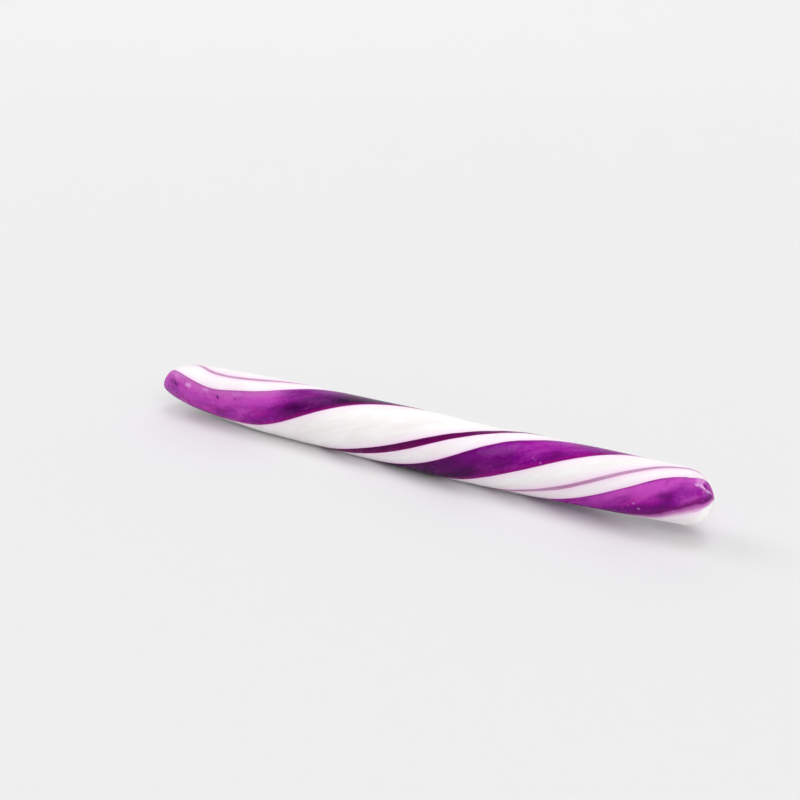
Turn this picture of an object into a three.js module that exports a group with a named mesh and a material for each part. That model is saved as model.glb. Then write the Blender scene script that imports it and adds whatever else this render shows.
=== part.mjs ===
// A hand-pulled candy stick, lying on its side: a white boiled-sugar body with
// four coloured ribbons of sugar let into its surface, all twisted as one.
// Millimetres, +Z up, X along the stick, with the thinner end at +X. The origin
// is on the surface that the stick lies on, under the middle of its length.

import * as THREE from 'three';

// Driving dimensions
const stickLength = 170;
const fullRadius = 8.25;
const pressedFlat = 0.25; // the round underside is pressed this much flat where it lies
const seamGap = 0.3; // clearance between a ribbon and its groove
const ribbonLift = 0.1; // a ribbon stays this much higher than the flat underside

// Each end thins out over a long run, and is then rounded off to its cut face.
const thinning = 1.5; // the power by which an end thins towards its tip
const nearEnd = {
  tip: stickLength / 2,
  thinsFrom: 10,
  thinsBy: 1.71,
  rises: 2.06, // the axis climbs this much towards the tip
  round: 6, // length of the rounding
  cutFace: 0.3, // radius of the cut face, as a share of the end's radius
  lean: 0.22, // how far the top of the end leans back, for each mm of height
  leanFrom: 66, // where along X the lean starts
};
const farEnd = {
  tip: -stickLength / 2,
  thinsFrom: -42,
  thinsBy: 2.65,
  rises: 1.07,
  round: 15,
  cutFace: 0.55,
  lean: 0.36,
  leanFrom: -70,
};
const ends = [nearEnd, farEnd];

// Twist of the whole section, in degrees, at stations along X. It runs evenly
// for most of the length, and turns back near the far end, where the stick was
// held while it was twisted.
const twistStations = [-85, -74, -62, -50, -40, -12, 14, 38, 62, 85];
const twistDegrees = [293, 311, 322, 313, 296, 215, 149, 69, -11, -94];

// The ribbons round the section, in degrees before the twist, in rising order,
// and how far each of their edges drifts from there at stations along X.
const driftStations = [-85, -72, -64, -56, -42, 0, 38, 52, 64, 73, 80, 85];
const ribbons = [
  {
    name: 'medium_ribbon',
    from: -7,
    to: 8,
    depth: 1.2,
    finish: 'plum',
    fromDrifts: [-0.5, -0.5, 0, 0.5, 1, 3, 1, 1, 1, 0.5, 0, 0],
    toDrifts: [-0.5, -0.5, 0, 0, 0.5, 3, 0, 0, -0.5, -0.5, -1, -1],
  },
  {
    name: 'wide_ribbon_a',
    from: 41,
    to: 103,
    depth: 1.6,
    finish: 'violet',
    fromDrifts: [-1, -1, -1, -0.5, 0, 1, -1, 1, 1, 1, 2, 2],
    toDrifts: [1, 1, 0.5, 0, 0, -1, 3.5, 2.5, 0, -1, -2, -2],
  },
  {
    name: 'thin_ribbon',
    from: 151,
    to: 159,
    depth: 0.8,
    finish: 'mauve',
    fromDrifts: [-35, -23, -9.5, -4, -1, 0, -1.5, 5, 2, -1, 2.5, 2.5],
    toDrifts: [-35, -23, -9.5, -4, -1, 0, -1.5, 5, 2, -1, 2.5, 2.5],
  },
  {
    name: 'wide_ribbon_b',
    from: 188,
    to: 264.5,
    depth: 1.6,
    finish: 'violet',
    fromDrifts: [-11, -3.5, -1, -1, 0, 1, 1.5, 1.5, 0, -3.5, 3, 0],
    toDrifts: [33.5, 25.5, 14, 2.5, 0, 0, 0, 0, 2.5, 7, 3, 4],
  },
];

// How finely the faces are split
const arcStep = 8; // degrees between the points of a section
const roundSteps = 4; // steps along each end's rounding
const bodySteps = 41; // steps between the two roundings

const degree = Math.PI / 180;

const finishes = {
  white: new THREE.MeshStandardMaterial({ color: 0xf4f0ef, roughness: 0.3, metalness: 0 }),
  violet: new THREE.MeshStandardMaterial({ color: 0x8f1a91, roughness: 0.25, metalness: 0 }),
  plum: new THREE.MeshStandardMaterial({ color: 0x610452, roughness: 0.25, metalness: 0 }),
  mauve: new THREE.MeshStandardMaterial({ color: 0xc68cb5, roughness: 0.28, metalness: 0 }),
};

const twist = new THREE.CubicInterpolant(twistStations, twistDegrees, 1);
const driftKnots = layKnots();

// The drift round the section is read between knots. It stays the same across the
// clearance beside an edge, so that the clearance keeps its width.
function layKnots() {
  const apron = 2.5;
  const knots = [];
  for (const ribbon of ribbons) {
    const fromDrift = new THREE.CubicInterpolant(driftStations, ribbon.fromDrifts, 1);
    const toDrift = new THREE.CubicInterpolant(driftStations, ribbon.toDrifts, 1);
    knots.push({ at: ribbon.from - apron, drift: fromDrift });
    knots.push({ at: ribbon.from, drift: fromDrift });
    knots.push({ at: ribbon.to, drift: toDrift });
    knots.push({ at: ribbon.to + apron, drift: toDrift });
  }
  knots.push({ at: knots[0].at + 360, drift: knots[0].drift });
  return knots;
}

// How far the section's point at this angle, in degrees, has drifted round at x.
function driftAt(angle, x) {
  const first = driftKnots[0].at;
  const within = THREE.MathUtils.euclideanModulo(angle - first, 360) + first;
  const next = Math.max(1, driftKnots.findIndex((knot) => knot.at >= within));
  const before = driftKnots[next - 1];
  const after = driftKnots[next];
  const share = (within - before.at) / (after.at - before.at);
  return THREE.MathUtils.lerp(before.drift.evaluate(x)[0], after.drift.evaluate(x)[0], share);
}

// How far x lies along an end's run: 0 where the run starts, 1 at the tip.
function alongRun(end, x, start) {
  return THREE.MathUtils.clamp((x - start) / (end.tip - start), 0, 1);
}

// Radius of the stick at x, with both ends thinned and rounded off.
function radiusAt(x) {
  let radius = fullRadius;
  for (const end of ends) {
    radius -= end.thinsBy * alongRun(end, x, end.thinsFrom) ** thinning;
  }
  for (const end of ends) {
    const intoRound = Math.max(0, 1 - Math.abs(end.tip - x) / end.round);
    radius *= end.cutFace + (1 - end.cutFace) * Math.sqrt(1 - intoRound ** 2);
  }
  return radius;
}

// Height of the axis at x: the stick lies on its belly with both ends clear.
function axisHeightAt(x) {
  let height = fullRadius - pressedFlat;
  for (const end of ends) {
    height += end.rises * alongRun(end, x, end.thinsFrom) ** thinning;
  }
  return height;
}

// Lean at x: how far a point moves back along X for each mm of its height.
function leanAt(x) {
  const shares = ends.map((end) => Math.sign(end.tip) * alongRun(end, x, end.leanFrom) ** 2);
  return shares[0] * nearEnd.lean + shares[1] * farEnd.lean;
}

// Place along X of each step: close together on the roundings, even between.
function stationAt(step) {
  const steps = 2 * roundSteps + bodySteps;
  if (step <= roundSteps) {
    return farEnd.tip + farEnd.round * (1 - Math.cos((step / roundSteps) * 90 * degree));
  }
  if (step >= steps - roundSteps) {
    const fromTip = (steps - step) / roundSteps;
    return nearEnd.tip - nearEnd.round * (1 - Math.cos(fromTip * 90 * degree));
  }
  const start = farEnd.tip + farEnd.round;
  const finish = nearEnd.tip - nearEnd.round;
  return THREE.MathUtils.lerp(start, finish, (step - roundSteps) / bodySteps);
}

// Points of an arc round the axis, between two angles in degrees.
function arc(radius, from, to) {
  const count = Math.max(1, Math.round(Math.abs(to - from) / arcStep));
  return Array.from({ length: count + 1 }, (_, i) => {
    const angle = THREE.MathUtils.lerp(from, to, i / count) * degree;
    return new THREE.Vector2(radius * Math.cos(angle), radius * Math.sin(angle));
  });
}

// Section of a ribbon: flush with the stick outside, down to its depth inside.
function ribbonSection(ribbon) {
  return new THREE.Shape([
    ...arc(fullRadius, ribbon.from, ribbon.to),
    ...arc(fullRadius - ribbon.depth, ribbon.to, ribbon.from),
  ]);
}

// Section of the body: the full round, with a groove for each ribbon.
function bodySection() {
  const clearance = seamGap / fullRadius / degree;
  const points = [];
  ribbons.forEach((ribbon, i) => {
    const next = ribbons[(i + 1) % ribbons.length];
    const nextTurn = i + 1 === ribbons.length ? 360 : 0;
    const floor = fullRadius - ribbon.depth - seamGap;
    points.push(...arc(floor, ribbon.from - clearance, ribbon.to + clearance));
    points.push(...arc(fullRadius, ribbon.to + clearance, next.from - clearance + nextTurn));
  });
  return new THREE.Shape(points);
}

// Runs a section along the stick. The extrusion has one unit for each step, and
// every vertex is then laid on the stick: drifted round, turned by the twist, drawn
// in by the thinning, leaned back at the end's top, and kept above the flat underside.
function alongStick(section, lowest) {
  const steps = 2 * roundSteps + bodySteps;
  const geometry = new THREE.ExtrudeGeometry(section, { depth: steps, steps, bevelEnabled: false });
  const position = geometry.attributes.position;
  for (let i = 0; i < position.count; i += 1) {
    const flat = new THREE.Vector2(position.getX(i), position.getY(i));
    const x = stationAt(Math.round(position.getZ(i)));
    const radius = radiusAt(x);
    const inset = (fullRadius - flat.length()) * Math.sqrt(radius / fullRadius);
    const drift = driftAt(flat.angle() / degree, x);
    const angle = flat.angle() + (drift + twist.evaluate(x)[0]) * degree;
    const across = (radius - inset) * Math.cos(angle);
    const above = (radius - inset) * Math.sin(angle);
    const height = Math.max(lowest, axisHeightAt(x) + above);
    position.setXYZ(i, x - leanAt(x) * (above + radius), across, height);
  }
  geometry.computeVertexNormals();
  return geometry;
}

function namedMesh(name, geometry, finish) {
  const mesh = new THREE.Mesh(geometry, finish);
  mesh.name = name;
  return mesh;
}

const candyStick = new THREE.Group();
candyStick.add(namedMesh('white_body', alongStick(bodySection(), 0), finishes.white));
for (const ribbon of ribbons) {
  const geometry = alongStick(ribbonSection(ribbon), ribbonLift);
  candyStick.add(namedMesh(ribbon.name, geometry, finishes[ribbon.finish]));
}

export default candyStick;
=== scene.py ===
# Looks of a hand-pulled candy stick: white boiled sugar with four coloured ribbons
# that twist along it. Sizes in the dictionaries are millimetres and degrees.
import math

import bmesh
import bpy
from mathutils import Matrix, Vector, noise


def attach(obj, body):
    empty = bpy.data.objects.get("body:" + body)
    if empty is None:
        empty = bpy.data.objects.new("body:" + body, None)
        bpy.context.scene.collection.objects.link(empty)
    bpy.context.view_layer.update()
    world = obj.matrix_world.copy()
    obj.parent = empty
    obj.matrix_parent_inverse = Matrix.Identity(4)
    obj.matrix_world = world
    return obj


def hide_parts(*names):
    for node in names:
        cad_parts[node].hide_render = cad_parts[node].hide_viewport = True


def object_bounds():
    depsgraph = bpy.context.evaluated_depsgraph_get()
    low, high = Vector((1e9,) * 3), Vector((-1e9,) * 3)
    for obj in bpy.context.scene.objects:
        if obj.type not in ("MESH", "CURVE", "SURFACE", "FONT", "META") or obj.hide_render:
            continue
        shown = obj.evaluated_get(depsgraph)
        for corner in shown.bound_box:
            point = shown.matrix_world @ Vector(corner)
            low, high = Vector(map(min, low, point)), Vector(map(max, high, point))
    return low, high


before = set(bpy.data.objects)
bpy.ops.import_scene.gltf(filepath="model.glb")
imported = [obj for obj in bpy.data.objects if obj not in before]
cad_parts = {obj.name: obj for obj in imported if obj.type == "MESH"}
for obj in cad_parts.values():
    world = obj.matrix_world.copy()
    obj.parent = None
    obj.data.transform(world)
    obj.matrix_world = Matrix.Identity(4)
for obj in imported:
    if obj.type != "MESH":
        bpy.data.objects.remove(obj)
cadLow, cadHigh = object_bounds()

mm = 0.001
print("frame loaded:", sorted(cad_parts))

stick = {
    "radius": cadHigh.y / mm - 0.11,  # leaves room for the relief
    "pressedFlat": 0.25,              # the belly is pressed this much flat where it lies
    "softFlat": 0.12,                 # how softly the flat runs into the round
    "thinning": 1.5,                  # power by which an end thins towards its tip
    "stations": 600,                  # rows along the stick, between the two rims
    "rimStations": 26,                # rows over each rim, from the side to the pole
    "rimPower": 2.3,                  # 2 is a round rim, more is squarer
    "swirlPower": 1.5,                # the higher, the nearer to the pole the stripes swirl
    "thinnestShare": 0.42,            # a ribbon is never deeper than this share of the radius
    "wallStep": 0.4,                  # how far down a wall its middle row lies
    "softLean": 1.6,                  # how softly an end's lower half runs into its leaning top
    "weld": 0.0002,                   # points closer than this are merged
}

nearEnd = {
    "side": 1,
    "tip": cadHigh.x / mm + 0.22,      # before the lean draws it back
    "thinsFrom": 10, "thinsBy": 1.71,  # where it starts to thin, and how much thinner the tip is
    "rises": 2.06,                     # the axis climbs this much towards the tip
    "round": 6.2, "cutFace": 0.4,      # length of the rounding, and the share of radius it leaves
    "rim": 2.8,                        # length of the rim over which the face closes
    "leanFrom": 66, "lean": 0.44,      # from here the top leans back this much for each mm
    "pivot": 0.0,                      # share of the radius under the axis where the lean starts
    "swirl": -30,                      # how far the stripes turn over the rim
}
farEnd = {
    "side": -1, "tip": -cadLow.x / mm + 0.56, "thinsFrom": -42, "thinsBy": 2.65, "rises": 1.07,
    "round": 15.5, "cutFace": 0.49, "rim": 1.2, "leanFrom": -70, "lean": 0.4, "pivot": 0.8,
    "swirl": 24,
}

# How far the whole section has turned, in degrees, at places along X.
twist = {
    -85: 293, -74: 311, -62: 322, -50: 313, -40: 296, -12: 215, 14: 149, 38: 69, 62: -11, 85: -94,
}


def smoothThrough(places, x):
    # a smooth curve through every place along X, its slope taken from both neighbours
    stations, values = list(places), list(places.values())
    last = len(stations) - 1
    i = 0
    while i < last - 1 and x > stations[i + 1]:
        i += 1
    secants = [(values[k + 1] - values[k]) / (stations[k + 1] - stations[k]) for k in range(last)]
    slopeIn = (secants[max(i - 1, 0)] + secants[i]) / 2
    slopeOut = (secants[i] + secants[min(i + 1, last - 1)]) / 2
    span = stations[i + 1] - stations[i]
    t = min(max((x - stations[i]) / span, 0), 1)
    fromHere = values[i] * (2 * t**3 - 3 * t**2 + 1) + slopeIn * span * (t**3 - 2 * t**2 + t)
    toNext = values[i + 1] * (3 * t**2 - 2 * t**3) + slopeOut * span * (t**3 - t**2)
    return fromHere + toNext


def clamp(value, low=0.0, high=1.0):
    return min(max(value, low), high)


def alongRun(end, x, start):
    tip = end["side"] * end["tip"]
    return clamp((x - start) / (tip - start))


def stemRadius(x):
    # radius of the stick before its rims are rounded
    radius = stick["radius"]
    for end in (nearEnd, farEnd):
        radius -= end["thinsBy"] * alongRun(end, x, end["thinsFrom"]) ** stick["thinning"]
    for end in (nearEnd, farEnd):
        into = max(0.0, 1 - abs(end["side"] * end["tip"] - x) / end["round"])
        radius *= end["cutFace"] + (1 - end["cutFace"]) * math.sqrt(1 - into**2)
    return radius


def axisHeight(x):
    height = stick["radius"] - stick["pressedFlat"]
    for end in (nearEnd, farEnd):
        height += end["rises"] * alongRun(end, x, end["thinsFrom"]) ** stick["thinning"]
    return height


def leanAt(x):
    # how far a point moves back along X for each mm of height, and where that starts
    end = nearEnd if x > 0 else farEnd
    return end["side"] * alongRun(end, x, end["leanFrom"]) ** 2 * end["lean"], end["pivot"]


# Each ribbon has its two edges, in degrees before the twist, at places along X, its depth,
# how many columns cross its skin and its floor, how far it is crowned, and how far its
# walls spread towards the floor, or draw in where that is below 0.
mediumRibbon = {
    "name": "mediumRibbon", "node": "medium_ribbon", "slot": "plum_sugar",
    "from": {
        -85: -7.5, -22: -6, -3: -3.5, 14: -6, 30: -6, 82.6: -7, 83.9: -3.5, 84.6: -0.8, 85.2: -0.6,
    },
    "to": {
        -85: 7.5, -22: 8.5, -3: 11.5, 16: 7.5, 30: 7.5, 82.6: 7, 83.9: 3.5, 84.6: 0.8, 85.2: 0.6,
    },
    "depth": 1.2, "columns": 10, "floorColumns": 2, "bulge": 0.03, "spread": -0.03,
}
wideRibbonA = {
    "name": "wideRibbonA", "node": "wide_ribbon_a", "slot": "violet_sugar",
    "from": {
        -85: 40, 14: 42.5, 33: 39, 42: 42, 60: 42, 82.4: 43, 83.5: 54, 84.2: 65, 84.6: 69.2,
        85.2: 69.4,
    },
    "to": {
        -85: 104, 20: 101, 34: 105.5, 45: 107.5, 54: 105, 62: 101, 74: 97, 82.4: 97, 83.5: 86,
        84.2: 75, 84.6: 70.8, 85.2: 70.6,
    },
    "depth": 1.6, "columns": 38, "floorColumns": 9, "bulge": 0.06, "spread": -0.03,
}
thinRibbon = {
    "name": "thinRibbon", "node": "thin_ribbon", "slot": "mauve_sugar",
    "from": {
        -85: 116, -71.6: 128.4, -65.5: 140, -60.5: 144.6, -53.5: 148, -46.6: 150, -40: 150.2,
        0: 151, 38: 149.5, 52: 156, 66: 152.5, 73.8: 150, 78.8: 153.5, 83.2: 154, 83.7: 150.5,
        84.0: 147, 84.4: 137, 84.7: 129, 84.95: 120, 85.2: 116,
    },
    "to": {
        -85: 124, -71.6: 136.4, -65.5: 148.5, -60.5: 152.6, -53.5: 156, -46.6: 158, -40: 158.2,
        0: 159, 38: 157.5, 52: 164, 66: 160.5, 73.8: 158, 78.8: 161.5, 83.2: 162, 83.7: 158.5,
        84.0: 154, 84.4: 142, 84.7: 133.5, 84.95: 124, 85.2: 119,
    },
    "depth": 0.8, "columns": 6, "floorColumns": 2, "bulge": 0.015, "spread": -0.03,
}
wideRibbonB = {
    "name": "wideRibbonB", "node": "wide_ribbon_b", "slot": "violet_sugar",
    "from": {
        -85: 177, -80.2: 179.5, -75.2: 182.3, -71: 185, -61.6: 188, -54.4: 186.5, -40: 188,
        56: 189.5, 67: 187.5, 73.5: 184.5, 77.4: 187.5, 80: 191.5, 81.6: 193.5, 82.6: 191,
        83.4: 184, 83.7: 177, 84.0: 166, 84.2: 157, 84.4: 149, 84.7: 140, 84.95: 130, 85.2: 125,
    },
    "to": {
        -85: 298, -72: 290, -58: 268, -46: 264.5, 58: 264.5, 66: 271, 71: 275.5, 73.5: 276.5,
        76: 273.8, 78.3: 272, 80.5: 272, 82.7: 275, 84.26: 280, 84.9: 288, 85.2: 292,
    },
    "depth": 1.6, "columns": 48, "floorColumns": 12, "bulge": 0.06, "spread": -0.03,
}
ribbons = [mediumRibbon, wideRibbonA, thinRibbon, wideRibbonB]   # in rising order round the stick

sugarBody = {
    "name": "sugarBody", "node": "white_body", "slot": "white_sugar",
    "columnsPerDegree": 0.42, "floorPerDegree": 0.16, "bulge": 0.03,
    "grooveGap": 0.1,      # a groove's floor lies this far under its ribbon
    "spread": 0.06,
}

# Layers of noise, each by its height, by how long it is drawn along X and how wide it is
# round the stick. Waver and frill are degrees by which a ribbon's edge strays.
relief = {
    "uneven": {"height": 0.075, "long": 17.0, "across": 6.0, "shift": 0},
    "dents": {"height": 0.022, "long": 3.6, "across": 2.4, "shift": 40},
    "streaks": {"height": 0.004, "long": 22.0, "across": 1.3, "shift": 80},
    "wrinkles": {"height": 0.05, "long": 0.5, "across": 1.7, "shift": 20},   # over the rims
    "waver": {"height": 0.6, "long": 8.5, "across": 1.0, "shift": 0},
    "frill": {"height": 0.2, "long": 1.9, "across": 1.0, "shift": 0},
}
seam = {
    "valley": 0.045, "valleyWidth": 0.28,    # the fine valley along each edge
    "bulgeWidth": 1.6,                       # how far from the edge the crown is nearly full
    "ribbonRow": 7.3, "sideRow": 3.1,        # each edge reads its own row of the noise
    "waverPlane": 0.5, "frillPlane": 9.5,
}


def layerAt(name, x, y, z):
    layer = relief[name]
    place = (x / layer["long"] + layer["shift"], y / layer["across"], z / layer["across"])
    return layer["height"] * noise.noise(place)


def edgesAt(x):
    # the two edges of every ribbon at x, in degrees before the twist
    edges = {}
    for index, ribbon in enumerate(ribbons):
        for side, shift in (("from", 0), ("to", seam["sideRow"])):
            row = index * seam["ribbonRow"] + shift
            strays = layerAt("waver", x, row, seam["waverPlane"])
            strays += layerAt("frill", x, row, seam["frillPlane"])
            edges[ribbon["name"], side] = smoothThrough(ribbon[side], x) + strays
    return edges


def layStations():
    # every row of the stick: its place, its radius, its slope and its ribbons' edges
    rows = []
    rim = stick["rimStations"]
    stemFrom, stemTo = farEnd["rim"] - farEnd["tip"], nearEnd["tip"] - nearEnd["rim"]
    power = 2 / stick["rimPower"]
    lastRow = stick["stations"] + 2 * rim
    for i in range(lastRow + 1):
        end, share, swirl = None, 1.0, 0.0
        if i < rim:
            end, over = farEnd, (rim - i) / rim
        elif i > lastRow - rim:
            end, over = nearEnd, (i - lastRow + rim) / rim
        if end:
            slope = over * math.pi / 2
            x = end["side"] * (end["tip"] - end["rim"] * (1 - math.sin(slope) ** power))
            share = math.cos(slope) ** power if over < 1 else 0.0
            swirl = end["swirl"] * (1 - share) ** stick["swirlPower"]
        else:
            x = stemFrom + (stemTo - stemFrom) * (i - rim) / stick["stations"]
        stem = stemRadius(x)
        lean, pivot = leanAt(x)
        rows.append({
            "x": x, "stem": stem, "share": share, "radius": stem * share,
            "turn": smoothThrough(twist, x) + swirl, "axis": axisHeight(x),
            "lean": lean, "pivot": pivot, "edges": edgesAt(x),
        })
    for i, row in enumerate(rows):
        before, after = rows[max(i - 1, 0)], rows[min(i + 1, lastRow)]
        slope = Vector((after["x"] - before["x"], after["radius"] - before["radius"])).normalized()
        row["out"] = (-slope.y, slope.x)     # outward, as (along X, away from the axis)
    rows[0]["out"], rows[lastRow]["out"] = (-1.0, 0.0), (1.0, 0.0)
    return rows


# A column is a line along the stick: the two edges that it lies between, the share of the
# way from the first to the second, how far down a wall it lies, and how deep that wall is.
def trough(low, high, steps, depth):
    # down one wall, across the floor and up the other
    floor = [(low, high, i / steps, 1.0, depth) for i in range(steps + 1)]
    walls = [(low, high, share, stick["wallStep"], depth) for share in (0.0, 1.0)]
    return [walls[0], *floor, walls[1]]


def ribbonColumns(ribbon):
    # once round a ribbon's section, and back to where it began
    low, high = (ribbon["name"], "from", 0), (ribbon["name"], "to", 0)
    across = ribbon["columns"]
    columns = [(low, high, i / across, 0.0, 0.0) for i in range(across + 1)]
    columns += reversed(trough(low, high, ribbon["floorColumns"], ribbon["depth"]))
    return columns + columns[:1]


def bodyColumns():
    # once round the body: a white land, then the groove of the next ribbon, four times
    columns = []
    for i, ribbon in enumerate(ribbons):
        following = ribbons[(i + 1) % len(ribbons)]
        turn = 360 if i + 1 == len(ribbons) else 0
        left, right = (ribbon["name"], "to", 0), (following["name"], "from", turn)
        before, low, high = (smoothThrough(edge, 0) for edge in (
            ribbon["to"], following["from"], following["to"],
        ))
        land = round((low + turn - before) * sugarBody["columnsPerDegree"])
        columns += [(left, right, k / land, 0.0, 0.0) for k in range(land + 1)]
        floor = max(2, round((high - low) * sugarBody["floorPerDegree"]))
        depth = following["depth"] + sugarBody["grooveGap"]
        columns += trough(right, (following["name"], "to", turn), floor, depth)
    last = (following["name"], "to", turn)
    return columns + [(last, last, 0.0, 0.0, 0.0)]


# What pulling and handling left on the skin, with some painted highlights and painted shade
# among it. Each mark runs through places on the stick, given as the distance along X and the
# degrees round it, raises the skin by its height, and makes the sugar paler or, below 0, darker.
marks = [
    # the near end's tip: the pale arc, a ridge with a painted highlight on it, the pit and the
    # creases round them
    {"through": [(82.9, 127), (83.3, 123), (83.7, 120)], "wide": 0.36, "height": 0.2, "tone": 0.6},
    {"through": [(83.9, 119), (84.3, 118.5)], "wide": 0.26, "height": 0.16, "tone": 0.7},
    {"through": [(84.55, 117), (84.8, 111)], "wide": 0.3, "height": 0.18, "tone": 0.65},
    {"through": [(84.97, 103)], "wide": 0.3, "height": 0.1, "tone": 0.5},
    {"through": [(83.1, 128.5)], "wide": 0.3, "height": 0.08, "tone": 0.4},
    # a broad painted highlight over the tip
    {"through": [(83.4, 112), (84.5, 120)], "wide": 1.5, "height": 0.0, "tone": 0.3},
    {"through": [(84.25, 102)], "wide": 0.5, "height": -0.32, "tone": -1.4},
    # a painted highlight on a small ridge above the pit
    {"through": [(84.0, 94), (83.8, 88)], "wide": 0.4, "height": 0.14, "tone": 0.5},
    # a broad painted highlight over the tip
    {"through": [(82.5, 96), (83.6, 104)], "wide": 1.3, "height": 0.0, "tone": 0.3},
    {"through": [(82.9, 132.5)], "wide": 0.5, "height": -0.12, "tone": -0.5},
    {"through": [(83.8, 151), (84.4, 158)], "wide": 0.7, "height": -0.1, "tone": -0.5},
    # painted shade along the tip's outline, on a slight ridge
    {"through": [(84.15, 71), (84.4, 58), (84.7, 52)], "wide": 0.4, "height": 0.04, "tone": -0.6},
    # the side of the near end
    {"through": [(75.8, 136)], "wide": 0.8, "height": -0.04, "tone": -0.45},
    {"through": [(75.0, 165.5), (76.5, 165.5)], "wide": 1.1, "height": -0.04, "tone": -0.65},
    {"through": [(78.2, 160)], "wide": 0.8, "height": 0.02, "tone": -0.3},
    {"through": [(68.5, 190.5)], "wide": 0.26, "height": 0.05, "tone": 0.8},
    {"through": [(69.6, 201.5)], "wide": 0.32, "height": 0.05, "tone": 0.8},
    {"through": [(67.2, 198)], "wide": 0.2, "height": 0.03, "tone": 0.5},
    # the far end: dark pits, and pale spots on slight swellings, which are painted highlights
    {"through": [(-58.5, 166)], "wide": 0.62, "height": -0.18, "tone": -1.0},
    {"through": [(-63.8, 168)], "wide": 0.5, "height": -0.1, "tone": -0.7},
    {"through": [(-51.6, 161)], "wide": 0.6, "height": -0.12, "tone": -0.7},
    {"through": [(-46.6, 153)], "wide": 0.5, "height": -0.08, "tone": -0.5},
    {"through": [(-80.5, 157.5), (-76.5, 164)], "wide": 0.7, "height": -0.1, "tone": -0.8},
    {"through": [(-71.7, 157), (-70.3, 157.5)], "wide": 0.7, "height": 0.1, "tone": 0.75},
    {"through": [(-64.4, 157), (-62.8, 157)], "wide": 0.6, "height": 0.06, "tone": 0.5},
    {"through": [(-52.4, 151), (-49.5, 150)], "wide": 0.8, "height": 0.04, "tone": 0.3},
    {"through": [(-78.6, 142.5), (-77, 143)], "wide": 1.3, "height": 0.05, "tone": 0.35},
    # the middle, and the hollow on top of it
    {"through": [(29.9, 150.5), (33.5, 141), (36.8, 131)], "wide": 2, "height": 0.03, "tone": 0.22},
    {"through": [(29.6, 171.5), (33.8, 162.5)], "wide": 0.9, "height": -0.03, "tone": -0.5},
    {"through": [(42.4, 142.5)], "wide": 0.24, "height": 0.03, "tone": 0.6},
    {"through": [(43.2, 145)], "wide": 0.2, "height": 0.03, "tone": 0.5},
    {"through": [(44.6, 148.5)], "wide": 0.26, "height": 0.03, "tone": 0.6},
    {"through": [(22, 96), (28, 87)], "wide": 6.0, "height": -0.5, "tone": 0.0},
]
markEdge = {"reach": 3, "ragged": 0.7, "raggedLong": 0.9}    # in widths of the mark


def placeMarks():
    # works out each mark's points on the finished stick, and its reach along X
    for mark in marks:
        points = []
        for x, around in mark["through"]:
            row = min(rows, key=lambda one: abs(one["x"] - x))
            points.append(onStick(row, around - row["turn"], 0.0))
        places = [p.x for p in points]
        reach = markEdge["reach"] * mark["wide"]
        mark["points"] = points
        mark["span"] = (min(places) - reach, max(places) + reach)


def marksAt(point):
    # height and tone that the marks give to a point of the finished stick
    height, tone = 0.0, 0.0
    for mark in marks:
        if not mark["span"][0] < point.x < mark["span"][1]:
            continue
        through = mark["points"]
        distance = (point - through[0]).length
        for a, b in zip(through, through[1:]):
            share = clamp((point - a).dot(b - a) / (b - a).length_squared)
            distance = min(distance, (point - a.lerp(b, share)).length)
        place = point / (markEdge["raggedLong"] * mark["wide"])
        distance *= 1 + markEdge["ragged"] * noise.noise(place)
        weight = math.exp(-((distance / mark["wide"]) ** 2))
        height += weight * mark["height"]
        tone += weight * mark["tone"]
    return height, tone


def surfaceRelief(row, along, edgeDistance, bulge):
    # how far the skin stands above the plain round, at a point given before the twist
    x, y, z = along
    share = row["share"]      # 1 along the stick, and down to 0 at the pole of each end
    overRim = 4 * share * (1 - share)
    squeezed = max(share, 0.1)
    height = layerAt("uneven", x, y, z) + layerAt("dents", x, y, z)
    height += share * layerAt("streaks", x, y, z)
    height += overRim * layerAt("wrinkles", share, y / squeezed, z / squeezed)
    height -= seam["valley"] * math.exp(-edgeDistance / seam["valleyWidth"])
    height += bulge * (1 - math.exp(-edgeDistance / seam["bulgeWidth"]))
    return height


def softAbove(value, softness):
    # the value where it is above 0, and else 0, with a soft bend between
    return (value + math.sqrt(value**2 + softness**2)) / 2


def onStick(row, angle, height):
    # a point of the finished stick, in millimetres
    outX, outR = row["out"]
    radius = row["radius"] + height * outR
    turned = math.radians(angle + row["turn"])
    above = radius * math.sin(turned)
    leaning = softAbove(above + row["stem"] * row["pivot"], stick["softLean"])
    return Vector((
        row["x"] + height * outX - row["lean"] * leaning,
        radius * math.cos(turned),
        softAbove(row["axis"] + above, stick["softFlat"]),
    ))


def objectFrom(bm, name, weld):
    # merges what lies together, turns the faces outwards and makes the object
    bm.normal_update()
    bmesh.ops.remove_doubles(bm, verts=bm.verts, dist=weld)
    bmesh.ops.recalc_face_normals(bm, faces=bm.faces)
    for face in bm.faces:
        face.smooth = True
    mesh = bpy.data.meshes.new(name)
    bm.to_mesh(mesh)
    bm.free()
    made = bpy.data.objects.new(name, mesh)
    bpy.context.scene.collection.objects.link(made)
    return made


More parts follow.
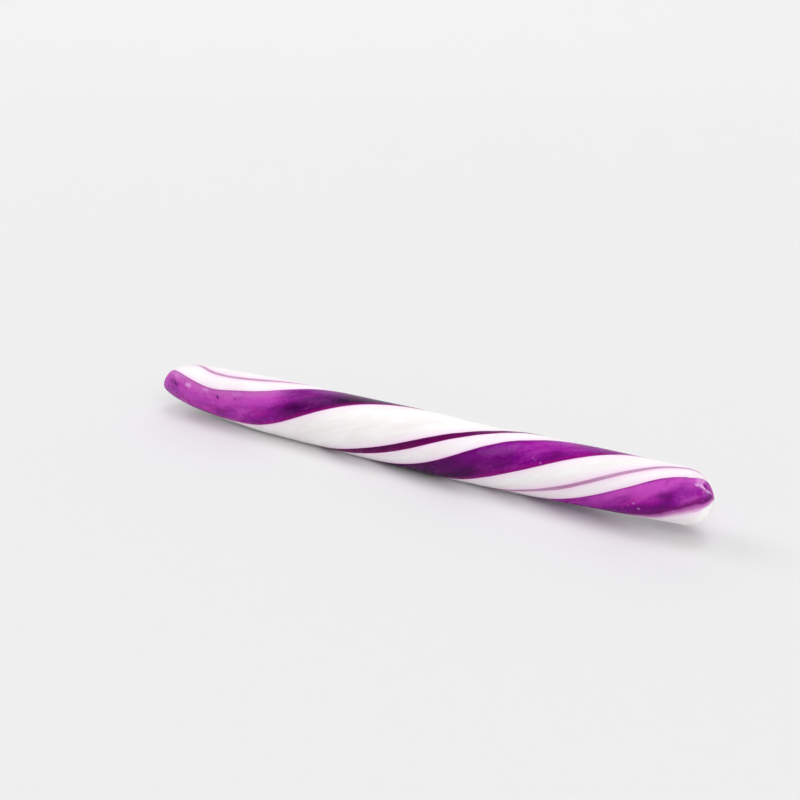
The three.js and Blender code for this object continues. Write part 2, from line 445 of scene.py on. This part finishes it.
def layOnStick(piece, columns):
    # lays a flat sheet round the stick, column by column, and closes it
    bm = bmesh.new()
    across, lastRow = len(columns) - 1, len(rows) - 1
    bmesh.ops.create_grid(bm, x_segments=lastRow, y_segments=across, size=0.5)
    lay = bm.verts.layers.float_vector.new("lay")
    edge = bm.verts.layers.float_vector.new("edge")
    downWall = {}
    for vert in bm.verts:
        row = rows[round((vert.co.x + 0.5) * lastRow)]
        start, finish, share, down, depth = columns[round((vert.co.y + 0.5) * across)]
        low = row["edges"][start[:2]] + start[2]
        high = row["edges"][finish[:2]] + finish[2]
        angle = low + (high - low) * share
        perDegree = max(row["radius"], 0.001) * math.radians(1)
        edgeDistance = min(share, 1 - share) * (high - low) * perDegree if down == 0 else 0.0
        turned = math.radians(angle)
        along = (row["x"], row["radius"] * math.cos(turned), row["radius"] * math.sin(turned))
        raised, tone = marksAt(onStick(row, angle, 0.0))
        raised += surfaceRelief(row, along, edgeDistance, piece["bulge"])
        raised -= down * min(depth, stick["thinnestShare"] * row["radius"])
        if down > 0 and share in (0.0, 1.0):
            outward = 1 if share else -1
            angle += outward * piece["spread"] * min(1.0, row["radius"]) * down / perDegree
        vert[lay], vert[edge] = along, (edgeDistance, share, tone)
        vert.co = onStick(row, angle, raised) * mm
        downWall[vert] = down
    for line in bm.edges:      # the skin ends crisply where a wall starts
        onSkin = all(downWall[v] == 0 for v in line.verts)
        if onSkin and any(downWall[v] > 0 for face in line.link_faces for v in face.verts):
            line.smooth = False
    made = objectFrom(bm, piece["name"], stick["weld"] * mm)
    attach(made, "root")
    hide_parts(piece["node"])
    print(piece["name"], "laid:", len(made.data.polygons), "faces")
    return made


rows = layStations()
placeMarks()
pieces = {"sugarBody": layOnStick(sugarBody, bodyColumns())}
for ribbon in ribbons:
    pieces[ribbon["name"]] = layOnStick(ribbon, ribbonColumns(ribbon))


# Finishes read two attributes of the mesh: "lay", the place on the stick before it was
# twisted, and "edge", the distance from the nearest edge of the ribbon or land, the share
# of the way across it, and the tone that the marks give.
violetSugar = {
    "deepest": (0.03, 0.0, 0.034), "deep": (0.11, 0.0, 0.115), "violet": (0.28, 0.001, 0.31),
    "magenta": (0.41, 0.001, 0.34), "light": (0.55, 0.075, 0.5), "rose": (0.33, 0.0, 0.2),
    # edgeLine colours the dark line along each edge, which is painted shade
    "edgeLine": (0.15, 0.004, 0.12), "fringe": (0.52, 0.13, 0.46),
    # speck colours the crystals and the pale marks, some of which are painted highlights
    "fringePale": (0.82, 0.55, 0.77), "crystalAndHighlight": (0.85, 0.5, 0.85),
    "fringeAlong": (57, 72), "fringeWidth": 4.1,    # dragged out at the lower edge from here on
    "pale": 0.9, "dim": 0.85, "crystals": 0.15,     # how strongly each shows; pale is a painted highlight and sheen, dim painted shade
    "wornAlong": (83.5, 84.2), "worn": 0.0,         # where the tip is worn white, and how far
    "roughness": (0.19, 0.38), "bump": 0.15,
    "shine": 0.08, "coat": 0.03, "coatRoughness": 0.12,
    "glow": 0.3, "glowReach": (1.0, 0.12, 1.0), "glowDepth": 0.9,
}
wornVioletSugar = dict(violetSugar, worn=1.0)
plumSugar = dict(
    violetSugar, deepest=(0.05, 0.0, 0.04), deep=(0.07, 0.0, 0.055), violet=(0.11, 0.0, 0.08),
    magenta=(0.15, 0.0, 0.1), light=(0.2, 0.003, 0.15), rose=(0.18, 0.0, 0.1),
    edgeLine=(0.1, 0.0, 0.07), fringe=(0.36, 0.06, 0.3), fringePale=(0.5, 0.2, 0.44),
    fringeWidth=0.4, pale=0.3, dim=0.2, crystals=0.0, worn=1.0,
)
mauveSugar = dict(
    violetSugar, deepest=(0.34, 0.14, 0.28), deep=(0.38, 0.15, 0.32), violet=(0.45, 0.2, 0.39),
    magenta=(0.49, 0.22, 0.4), light=(0.57, 0.43, 0.54), rose=(0.52, 0.25, 0.42),
    edgeLine=(0.56, 0.3, 0.5), fringe=(0.66, 0.38, 0.58), fringePale=(0.76, 0.52, 0.7),
    fringeWidth=0.4, pale=0.9, dim=0.2, crystals=0.0, wornAlong=(82.0, 84.2), worn=0.9,
    glow=0.4, glowReach=(1.0, 0.6, 0.9),
)
whiteSugar = {
    "shade": (0.85, 0.8, 0.803), "mid": (0.885, 0.86, 0.855), "light": (0.92, 0.91, 0.905),
    "midClouds": (0.36, 0.52), "lightClouds": (0.5, 0.68),
    "cloudShare": 0.8, "threadShare": 0.3, "threadBump": 0.7,
    "paintedGlow": (0.93, 0.68, 0.88),     # a painted pink glow of the light that the ribbons scatter into the white beside them
    "paintedGlows": [
        {"width": 0.9, "strength": 0.9, "endsAlong": (84.4, 83.4)},
        {"width": 3.2, "strength": 0.42, "endsAlong": (84.4, 82.0)},
    ],
    "roughness": (0.37, 0.5), "bump": 0.05,
    "shine": 0.2, "coat": 0.03, "coatRoughness": 0.2,
    "glow": 0.25, "glowReach": (1.0, 0.8, 0.85), "glowDepth": 0.8,
}
skin = {"glossClouds": (0.3, 0.75), "bumpHeight": 0.03}


def startMaterial(name, look):
    material = bpy.data.materials.new(name)
    material.use_nodes = True
    tree = material.node_tree
    shader = tree.nodes["Principled BSDF"]
    for socket, value in (
        ("Specular IOR Level", look["shine"]), ("Coat Weight", look["coat"]),
        ("Coat Roughness", look["coatRoughness"]), ("Subsurface Weight", look["glow"]),
        ("Subsurface Radius", look["glowReach"]), ("Subsurface Scale", look["glowDepth"] * mm),
    ):
        shader.inputs[socket].default_value = value
    return material, tree, shader


def addNode(tree, kind, settings=None, inputs=None):
    made = tree.nodes.new(kind)
    for key, value in (settings or {}).items():
        setattr(made, key, value)
    for key, value in (inputs or {}).items():
        if isinstance(value, bpy.types.NodeSocket):
            tree.links.new(value, made.inputs[key])
        else:
            made.inputs[key].default_value = value
    return made


def readAttribute(tree, name):
    return addNode(tree, "ShaderNodeAttribute", {"attribute_name": name}).outputs["Vector"]


def partsOf(tree, vector):
    return addNode(tree, "ShaderNodeSeparateXYZ", inputs={"Vector": vector}).outputs


def stretched(tree, vector, stretch, shift):
    made = addNode(tree, "ShaderNodeMapping", inputs={
        "Vector": vector, "Scale": stretch, "Location": shift,
    })
    return made.outputs["Vector"]


def patternAt(tree, lay, stretch=(1, 1, 1), shift=(0, 0, 0), scale=1.0, detail=3.0, rough=0.55):
    made = addNode(tree, "ShaderNodeTexNoise", inputs={
        "Vector": stretched(tree, lay, stretch, shift), "Scale": scale, "Detail": detail,
        "Roughness": rough,
    })
    return made.outputs["Fac"]


def mapped(tree, value, low, high, toLow=0.0, toHigh=1.0):
    made = addNode(tree, "ShaderNodeMapRange", {"interpolation_type": "SMOOTHSTEP"}, {
        "Value": value, "From Min": low, "From Max": high, "To Min": toLow, "To Max": toHigh,
    })
    return made.outputs["Result"]


def combined(tree, operation, *parts):
    made = parts[0]
    for part in parts[1:]:
        made = addNode(tree, "ShaderNodeMath", {"operation": operation}, {0: made, 1: part})
        made = made.outputs[0]
    return made


def product(tree, *factors):
    return combined(tree, "MULTIPLY", *factors)


def total(tree, *terms):
    return combined(tree, "ADD", *terms)


def blended(tree, share, first, second):
    # the first colour where the share is 0, the second where it is 1
    sockets = {0: share}
    for key, colour in ((6, first), (7, second)):
        sockets[key] = colour if isinstance(colour, bpy.types.NodeSocket) else (*colour, 1.0)
    return addNode(tree, "ShaderNodeMix", {"data_type": "RGBA"}, sockets).outputs[2]


def specksAt(tree, lay, shift, scale, size, rarity):
    # small round spots with a soft rim, kept only in some of the cells
    cells = addNode(tree, "ShaderNodeTexVoronoi", inputs={
        "Vector": stretched(tree, lay, (1, 1, 1), shift), "Scale": scale,
    })
    softRim = 0.4
    spot = mapped(tree, cells.outputs["Distance"], size, size * softRim)
    chance = addNode(tree, "ShaderNodeSeparateColor", inputs={"Color": cells.outputs["Color"]})
    return product(tree, spot, combined(tree, "GREATER_THAN", chance.outputs[0], rarity))


def finishSkin(tree, shader, look, colour, gloss, height):
    # joins the colour, an uneven gloss, and a bump too fine for the mesh to the shader
    rough = mapped(tree, gloss, *skin["glossClouds"], *look["roughness"])
    bump = addNode(tree, "ShaderNodeBump", inputs={
        "Strength": look["bump"], "Distance": skin["bumpHeight"] * mm, "Height": height,
    })
    tree.links.new(colour, shader.inputs["Base Color"])
    tree.links.new(rough, shader.inputs["Roughness"])
    tree.links.new(bump.outputs["Normal"], shader.inputs["Normal"])


colouredPatterns = {
    "clouds": {"stretch": (0.42, 1.0, 1.0), "scale": 0.26},
    "threads": {"stretch": (0.06, 1.0, 1.0), "shift": (0.0, 3.0, 5.0), "scale": 1.4},
    "grain": {"stretch": (0.7, 1.0, 1.0), "scale": 1.9, "detail": 4.0, "rough": 0.65},
    "tint": {"stretch": (0.42, 1.0, 1.0), "shift": (9, 2, 4), "scale": 0.22, "detail": 2.0},
    "wobble": {"scale": 0.15, "detail": 2.0},
    "gloss": {"stretch": (0.42, 1.0, 1.0), "scale": 0.9, "detail": 2.0},
    "bump": {"stretch": (0.42, 1.0, 1.0), "scale": 1.2, "detail": 2.0},
}
specks = {
    "crystals": {"shift": (0, 0, 0), "scale": 1.0, "size": 0.17, "rarity": 0.72},
    "bubbles": {"shift": (7, 3, 1), "scale": 0.5, "size": 0.12, "rarity": 0.7},
}

# Each fade reads one value of the sugar and runs between two of its levels, from 0 to 1 or
# between the two strengths that follow. Levels of along and fromEdge are millimetres.
fades = {
    "nearEnd": ("along", 44, 70),
    "farEnd": ("along", -27, -45),
    "tintClouds": ("tint", 0.4, 0.6),
    "tintAtEnds": ("atEnds", 0, 1, 0.35, 1.0),
    "deepClouds": ("cloudy", 0.52, 0.74, 0.35, 1.0),
    "litClouds": ("cloudy", 0.7, 0.92, 0.0, 0.8),
    "litAtEnds": ("atEnds", 0, 1, 0.4, 1.0),
    # paleReach and paleClouds shape the painted highlight on top of the ends
    "paleReach": ("along", -40, 40, 0.8, 0.56),
    "paleClouds": ("cloudy", 0.42, 0.76, 0.25, 1.35),
    # the dim, middle and unlit fades place the painted shade
    "dimAcross": ("across", 0.2, 0.72),
    "dimClouds": ("cloudy", 0.55, 0.9, 1.0, 0.3),
    "dimAlong": ("along", -58, -32, 0.25, 1.0),
    "dimAtEnds": ("atEnds", 0, 1, 1.0, 0.6),
    "middleNear": ("along", 52, 12),
    "middleFar": ("along", -43, -25),
    "unlitNear": ("along", 40, 4),
    "unlitFar": ("along", -38, -18),
    "unlitTop": ("along", -22, -4, 0.35, 1.0),
    # the next four place a painted sheen along the far end's upper edge
    "sheenAlong": ("along", -30, -46),
    "sheenFromEdge": ("fromEdge", 3.4, 0.4),
    "sheenAcross": ("across", 0.42, 0.3),
    "sheenClouds": ("cloudy", 0.42, 0.76, 0.6, 1.0),
    "lowerSide": ("across", 0.45, 0.55),
    "roseFromEdge": ("fromEdge", 1.7, 0.1),
    "fringeWobble": ("wobble", 0.2, 0.8, 0.36, 0.62),
    "fringeAtTip": ("along", 82.5, 84.9, 1.0, 0.55),
    "paleMarks": ("tone", 0.05, 1.2, 0.0, 0.9),
    "darkMarks": ("tone", -0.1, -1.0, 0.0, 0.9),
}
shares = {
    "threadsInClouds": 0.12, "grainInClouds": 0.3,
    "dim": 0.7, "middle": 0.4, "rose": 0.75, "bubbles": 0.6,
    "line": 0.45, "lineDragged": 0.4,      # how dark the edge line's painted shade is, and how much more there
    "fringe": 0.85, "fringePale": 0.9, "fringePaleWidth": 0.6,
    "threadBump": 0.4, "bubbleBump": 0.8,
}
plainFringe, plainLine = 0.14, 0.5         # widths where the edge isn't dragged out


def readSugar(tree):
    # the values that coloured sugar is finished from
    sugar = {"lay": readAttribute(tree, "lay")}
    sugar["along"] = partsOf(tree, sugar["lay"])[0]
    sugar["fromEdge"], sugar["across"], sugar["tone"] = partsOf(tree, readAttribute(tree, "edge"))
    for name, pattern in colouredPatterns.items():
        sugar[name] = patternAt(tree, sugar["lay"], **pattern)
    for name, crystalAndHighlight in specks.items():
        sugar[name] = specksAt(tree, sugar["lay"], **crystalAndHighlight)
    threads = product(tree, sugar["threads"], shares["threadsInClouds"])
    grain = product(tree, sugar["grain"], shares["grainInClouds"])
    sugar["cloudy"] = total(tree, sugar["clouds"], threads, grain)
    sugar["atEnds"] = total(tree, faded(tree, sugar, "nearEnd"), faded(tree, sugar, "farEnd"))
    return sugar


def faded(tree, sugar, *names):
    # the product of the fades with these names
    return product(tree, *(
        mapped(tree, sugar[fades[name][0]], *fades[name][1:]) for name in names
    ))


def brightBody(tree, look, sugar):
    # violet to magenta, deep between the clouds, and paler on top at both ends: the thin ends
    # are paler, and the upper side there has a painted highlight
    tint = faded(tree, sugar, "tintClouds", "tintAtEnds")
    colour = blended(tree, tint, look["violet"], look["magenta"])
    colour = blended(tree, faded(tree, sugar, "deepClouds"), look["deep"], colour)
    lit = faded(tree, sugar, "litClouds", "litAtEnds")
    colour = blended(tree, lit, colour, look["light"])
    # a painted highlight on the upper side, at the ends
    upward = mapped(tree, sugar["across"], faded(tree, sugar, "paleReach"), 0.0)
    pale = product(tree, sugar["atEnds"], upward, faded(tree, sugar, "paleClouds"), look["pale"])
    return blended(tree, pale, colour, look["light"])


def darkMiddle(tree, look, sugar, colour):
    # deeper towards the lower edge and deepest along the middle of the stick: painted shade, and
    # along the middle in part the thicker sugar
    dim = faded(tree, sugar, "dimAcross", "dimClouds", "dimAlong", "dimAtEnds")
    dim = product(tree, dim, look["dim"])
    ofMiddle = faded(tree, sugar, "middleNear", "middleFar")
    unlit = faded(tree, sugar, "unlitNear", "unlitFar", "unlitTop")
    for shade, share in (
        ("deep", product(tree, dim, shares["dim"])),
        ("deep", product(tree, ofMiddle, look["dim"], shares["middle"])),
        ("deepest", product(tree, dim, ofMiddle)),
        ("deepest", product(tree, unlit, look["dim"])),
    ):
        colour = blended(tree, share, colour, look[shade])
    return colour


def ribbonEdges(tree, look, sugar, colour):
    # a painted sheen along the far end's upper edge, rose along the lower edge, and at both edges
    # a dark line of painted shade and a pale fringe, which are dragged out at the near end's lower
    # edge
    paintedSheen = faded(tree, sugar, "sheenAlong", "sheenFromEdge", "sheenAcross", "sheenClouds")
    colour = blended(tree, product(tree, paintedSheen, look["pale"]), colour, look["fringe"])
    lowerSide = faded(tree, sugar, "lowerSide")
    dragged = product(tree, mapped(tree, sugar["along"], *look["fringeAlong"]), lowerSide)
    plainLower = combined(tree, "SUBTRACT", lowerSide, dragged)
    rose = product(tree, faded(tree, sugar, "roseFromEdge"), plainLower, shares["rose"])
    colour = blended(tree, rose, colour, look["rose"])
    wide = faded(tree, sugar, "fringeWobble", "fringeAtTip")
    wide = total(tree, product(tree, dragged, wide, look["fringeWidth"]), plainFringe)
    # the dark line along each edge is painted shade
    line = mapped(tree, sugar["fromEdge"], total(tree, wide, dragged, plainLine), wide)
    strength = total(tree, product(tree, dragged, shares["lineDragged"]), shares["line"])
    colour = blended(tree, product(tree, line, strength), colour, look["edgeLine"])
    paleWide = product(tree, wide, shares["fringePaleWidth"])
    fringe = mapped(tree, sugar["fromEdge"], wide, paleWide, 0.0, shares["fringe"])
    colour = blended(tree, fringe, colour, look["fringe"])
    outermost = mapped(tree, sugar["fromEdge"], paleWide, 0.0, 0.0, shares["fringePale"])
    return blended(tree, outermost, colour, look["fringePale"])


def specksAndMarks(tree, look, sugar, colour):
    # crystals, bubbles, the marks with their painted highlights and shade, and the tip where it is
    # worn
    for shade, share in (
        ("crystalAndHighlight", product(tree, sugar["crystals"], look["crystals"])),
        ("deep", product(tree, sugar["bubbles"], shares["bubbles"])),
        ("crystalAndHighlight", faded(tree, sugar, "paleMarks")),
        ("deep", faded(tree, sugar, "darkMarks")),
    ):
        colour = blended(tree, share, colour, look[shade])
    if look["worn"] > 0:
        worn = product(tree, mapped(tree, sugar["along"], *look["wornAlong"]), look["worn"])
        colour = blended(tree, worn, colour, whiteSugar["mid"])
    return colour


def colouredSugar(name, look):
    material, tree, shader = startMaterial(name, look)
    sugar = readSugar(tree)
    colour = brightBody(tree, look, sugar)
    for addColour in (darkMiddle, ribbonEdges, specksAndMarks):
        colour = addColour(tree, look, sugar, colour)
    height = total(tree, sugar["bump"], product(tree, sugar["threads"], shares["threadBump"]))
    bubbles = product(tree, sugar["bubbles"], shares["bubbleBump"])
    height = combined(tree, "SUBTRACT", height, bubbles)
    finishSkin(tree, shader, look, colour, sugar["gloss"], height)
    return material


whitePatterns = {
    "clouds": {"stretch": (0.3, 1.0, 1.0), "scale": 0.3},
    "threads": {
        "stretch": (0.05, 1.0, 1.0), "shift": (0.0, 3.0, 5.0), "scale": 2.0, "detail": 2.0,
    },
    "gloss": {"stretch": (0.3, 1.0, 1.0), "scale": 0.6, "detail": 2.0},
    "bump": {"stretch": (0.3, 1.0, 1.0), "scale": 0.9, "detail": 2.0},
}


def pulledWhite(name, look):
    # milky clouds and threads drawn along the stick, and a painted pink glow beside the ribbons
    material, tree, shader = startMaterial(name, look)
    lay = readAttribute(tree, "lay")
    along = partsOf(tree, lay)[0]
    fromEdge = partsOf(tree, readAttribute(tree, "edge"))[0]
    made = {key: patternAt(tree, lay, **pattern) for key, pattern in whitePatterns.items()}
    clouds = product(tree, made["clouds"], look["cloudShare"])
    cloudy = total(tree, clouds, product(tree, made["threads"], look["threadShare"]))
    colour = blended(tree, mapped(tree, cloudy, *look["midClouds"]), look["shade"], look["mid"])
    colour = blended(tree, mapped(tree, cloudy, *look["lightClouds"]), colour, look["light"])
    # a painted pink glow of light scattered in from the ribbons
    for paintedGlow in look["paintedGlows"]:
        share = mapped(tree, fromEdge, paintedGlow["width"], 0.0, 0.0, paintedGlow["strength"])
        share = product(tree, share, mapped(tree, along, *paintedGlow["endsAlong"]))
        colour = blended(tree, share, colour, look["paintedGlow"])
    height = total(tree, made["bump"], product(tree, made["threads"], look["threadBump"]))
    finishSkin(tree, shader, look, colour, made["gloss"], height)
    return material


finishes = {
    "sugarBody": pulledWhite("whiteSugar", whiteSugar),
    "mediumRibbon": colouredSugar("plumSugar", plumSugar),
    "wideRibbonA": colouredSugar("wornVioletSugar", wornVioletSugar),
    "thinRibbon": colouredSugar("mauveSugar", mauveSugar),
    "wideRibbonB": colouredSugar("violetSugar", violetSugar),
}
for name, made in pieces.items():
    made.data.materials.append(finishes[name])
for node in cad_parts.values():      # hidden, but finished like what replaces them
    like = "sugarBody" if node.name == "white_body" else "wideRibbonB"
    node.data.materials.clear()
    node.data.materials.append(finishes[like])
print("finishes made:", sorted(m.name for m in bpy.data.materials))


studio = {
    "floorRadius": 1.3, "dishRadius": 3.4, "dishRise": 1.1,    # metres
    "sweepSteps": 12, "turnSteps": 64, "weld": 0.00001,
    "floorColour": (0.77, 0.767, 0.773), "floorRoughness": 0.8, "floorShine": 0.1,
    "sky": 0.2,        # light from all round
    "softboxes": [     # angles: how far from its middle each is full, and where it ends
        {"towards": (0, 0, 1), "angles": (30, 70), "strength": 0.33},
        {"towards": (0.05, 0.17, 0.99), "angles": (8, 22), "strength": 2.4},
        {"towards": (-0.8, 0.0, 0.6), "angles": (8, 22), "strength": 2.9},
        {"towards": (-0.45, 0.85, 0.34), "angles": (16, 34), "strength": 1.0},
        {"towards": (0.75, -0.55, 0.36), "angles": (20, 55), "strength": 1.9},
    ],
}


def buildStudio():
    # a pale floor that sweeps up all round, spun from its profile
    bm = bmesh.new()
    points = [bm.verts.new((0, 0, 0)), bm.verts.new((studio["floorRadius"], 0, 0))]
    sweep = studio["dishRadius"] - studio["floorRadius"]
    for i in range(studio["sweepSteps"]):
        share = (i + 1) / studio["sweepSteps"]
        reach = studio["floorRadius"] + sweep * share
        points.append(bm.verts.new((reach, 0, studio["dishRise"] * share**2)))
    profile = [bm.edges.new(pair) for pair in zip(points, points[1:])]
    bmesh.ops.spin(
        bm, geom=points + profile, cent=(0, 0, 0), axis=(0, 0, 1), angle=math.tau,
        steps=studio["turnSteps"], use_merge=True,
    )
    floor = objectFrom(bm, "studioFloor", studio["weld"])
    material = bpy.data.materials.new("paleFloor")
    material.use_nodes = True
    shader = material.node_tree.nodes["Principled BSDF"]
    shader.inputs["Base Color"].default_value = (*studio["floorColour"], 1)
    shader.inputs["Roughness"].default_value = studio["floorRoughness"]
    shader.inputs["Specular IOR Level"].default_value = studio["floorShine"]
    floor.data.materials.append(material)


def addLights():
    # every softbox is a bright round patch of the sky
    world = bpy.data.worlds.new("studio")
    world.use_nodes = True
    tree = world.node_tree
    towardsSky = addNode(tree, "ShaderNodeTexCoord").outputs["Generated"]
    strength = studio["sky"]
    for box in studio["softboxes"]:
        facing = addNode(tree, "ShaderNodeVectorMath", {"operation": "DOT_PRODUCT"}, {
            0: towardsSky, 1: Vector(box["towards"]).normalized(),
        }).outputs["Value"]
        full, none = (math.cos(math.radians(angle)) for angle in box["angles"])
        glow = mapped(tree, facing, none, full, 0.0, box["strength"])
        strength = total(tree, glow, strength)
    background = tree.nodes["Background"]
    background.inputs["Color"].default_value = (1, 1, 1, 1)
    tree.links.new(strength, background.inputs["Strength"])
    bpy.context.scene.world = world


view = {
    "azimuth": 32.143, "elevation": 20.0, "distance": 273.94,
    "right": 0.3, "up": 16.99,               # where it looks, from the middle of the stick
    "lens": 45, "film": 36, "clip": (0.01, 20),
}


def addCamera():
    # looks from the side of -Y, turned towards +X by the azimuth
    a, e = math.radians(view["azimuth"]), math.radians(view["elevation"])
    back = Vector((math.sin(a) * math.cos(e), -math.cos(a) * math.cos(e), math.sin(e)))
    right = Vector((math.cos(a), math.sin(a), 0))
    up = Vector((-math.sin(a) * math.sin(e), math.cos(a) * math.sin(e), math.cos(e)))
    target = right * view["right"] + up * view["up"]
    data = bpy.data.cameras.new("camera")
    data.lens = view["lens"]
    data.sensor_width = view["film"]
    data.clip_start, data.clip_end = view["clip"]
    camera = bpy.data.objects.new("camera", data)
    camera.location = (target + back * view["distance"]) * mm
    camera.rotation_euler = (math.radians(90) - e, 0, a)
    bpy.context.scene.collection.objects.link(camera)
    bpy.context.scene.camera = camera


buildStudio()
addLights()
addCamera()
bpy.context.scene.view_settings.view_transform = "Standard"
print("studio set")
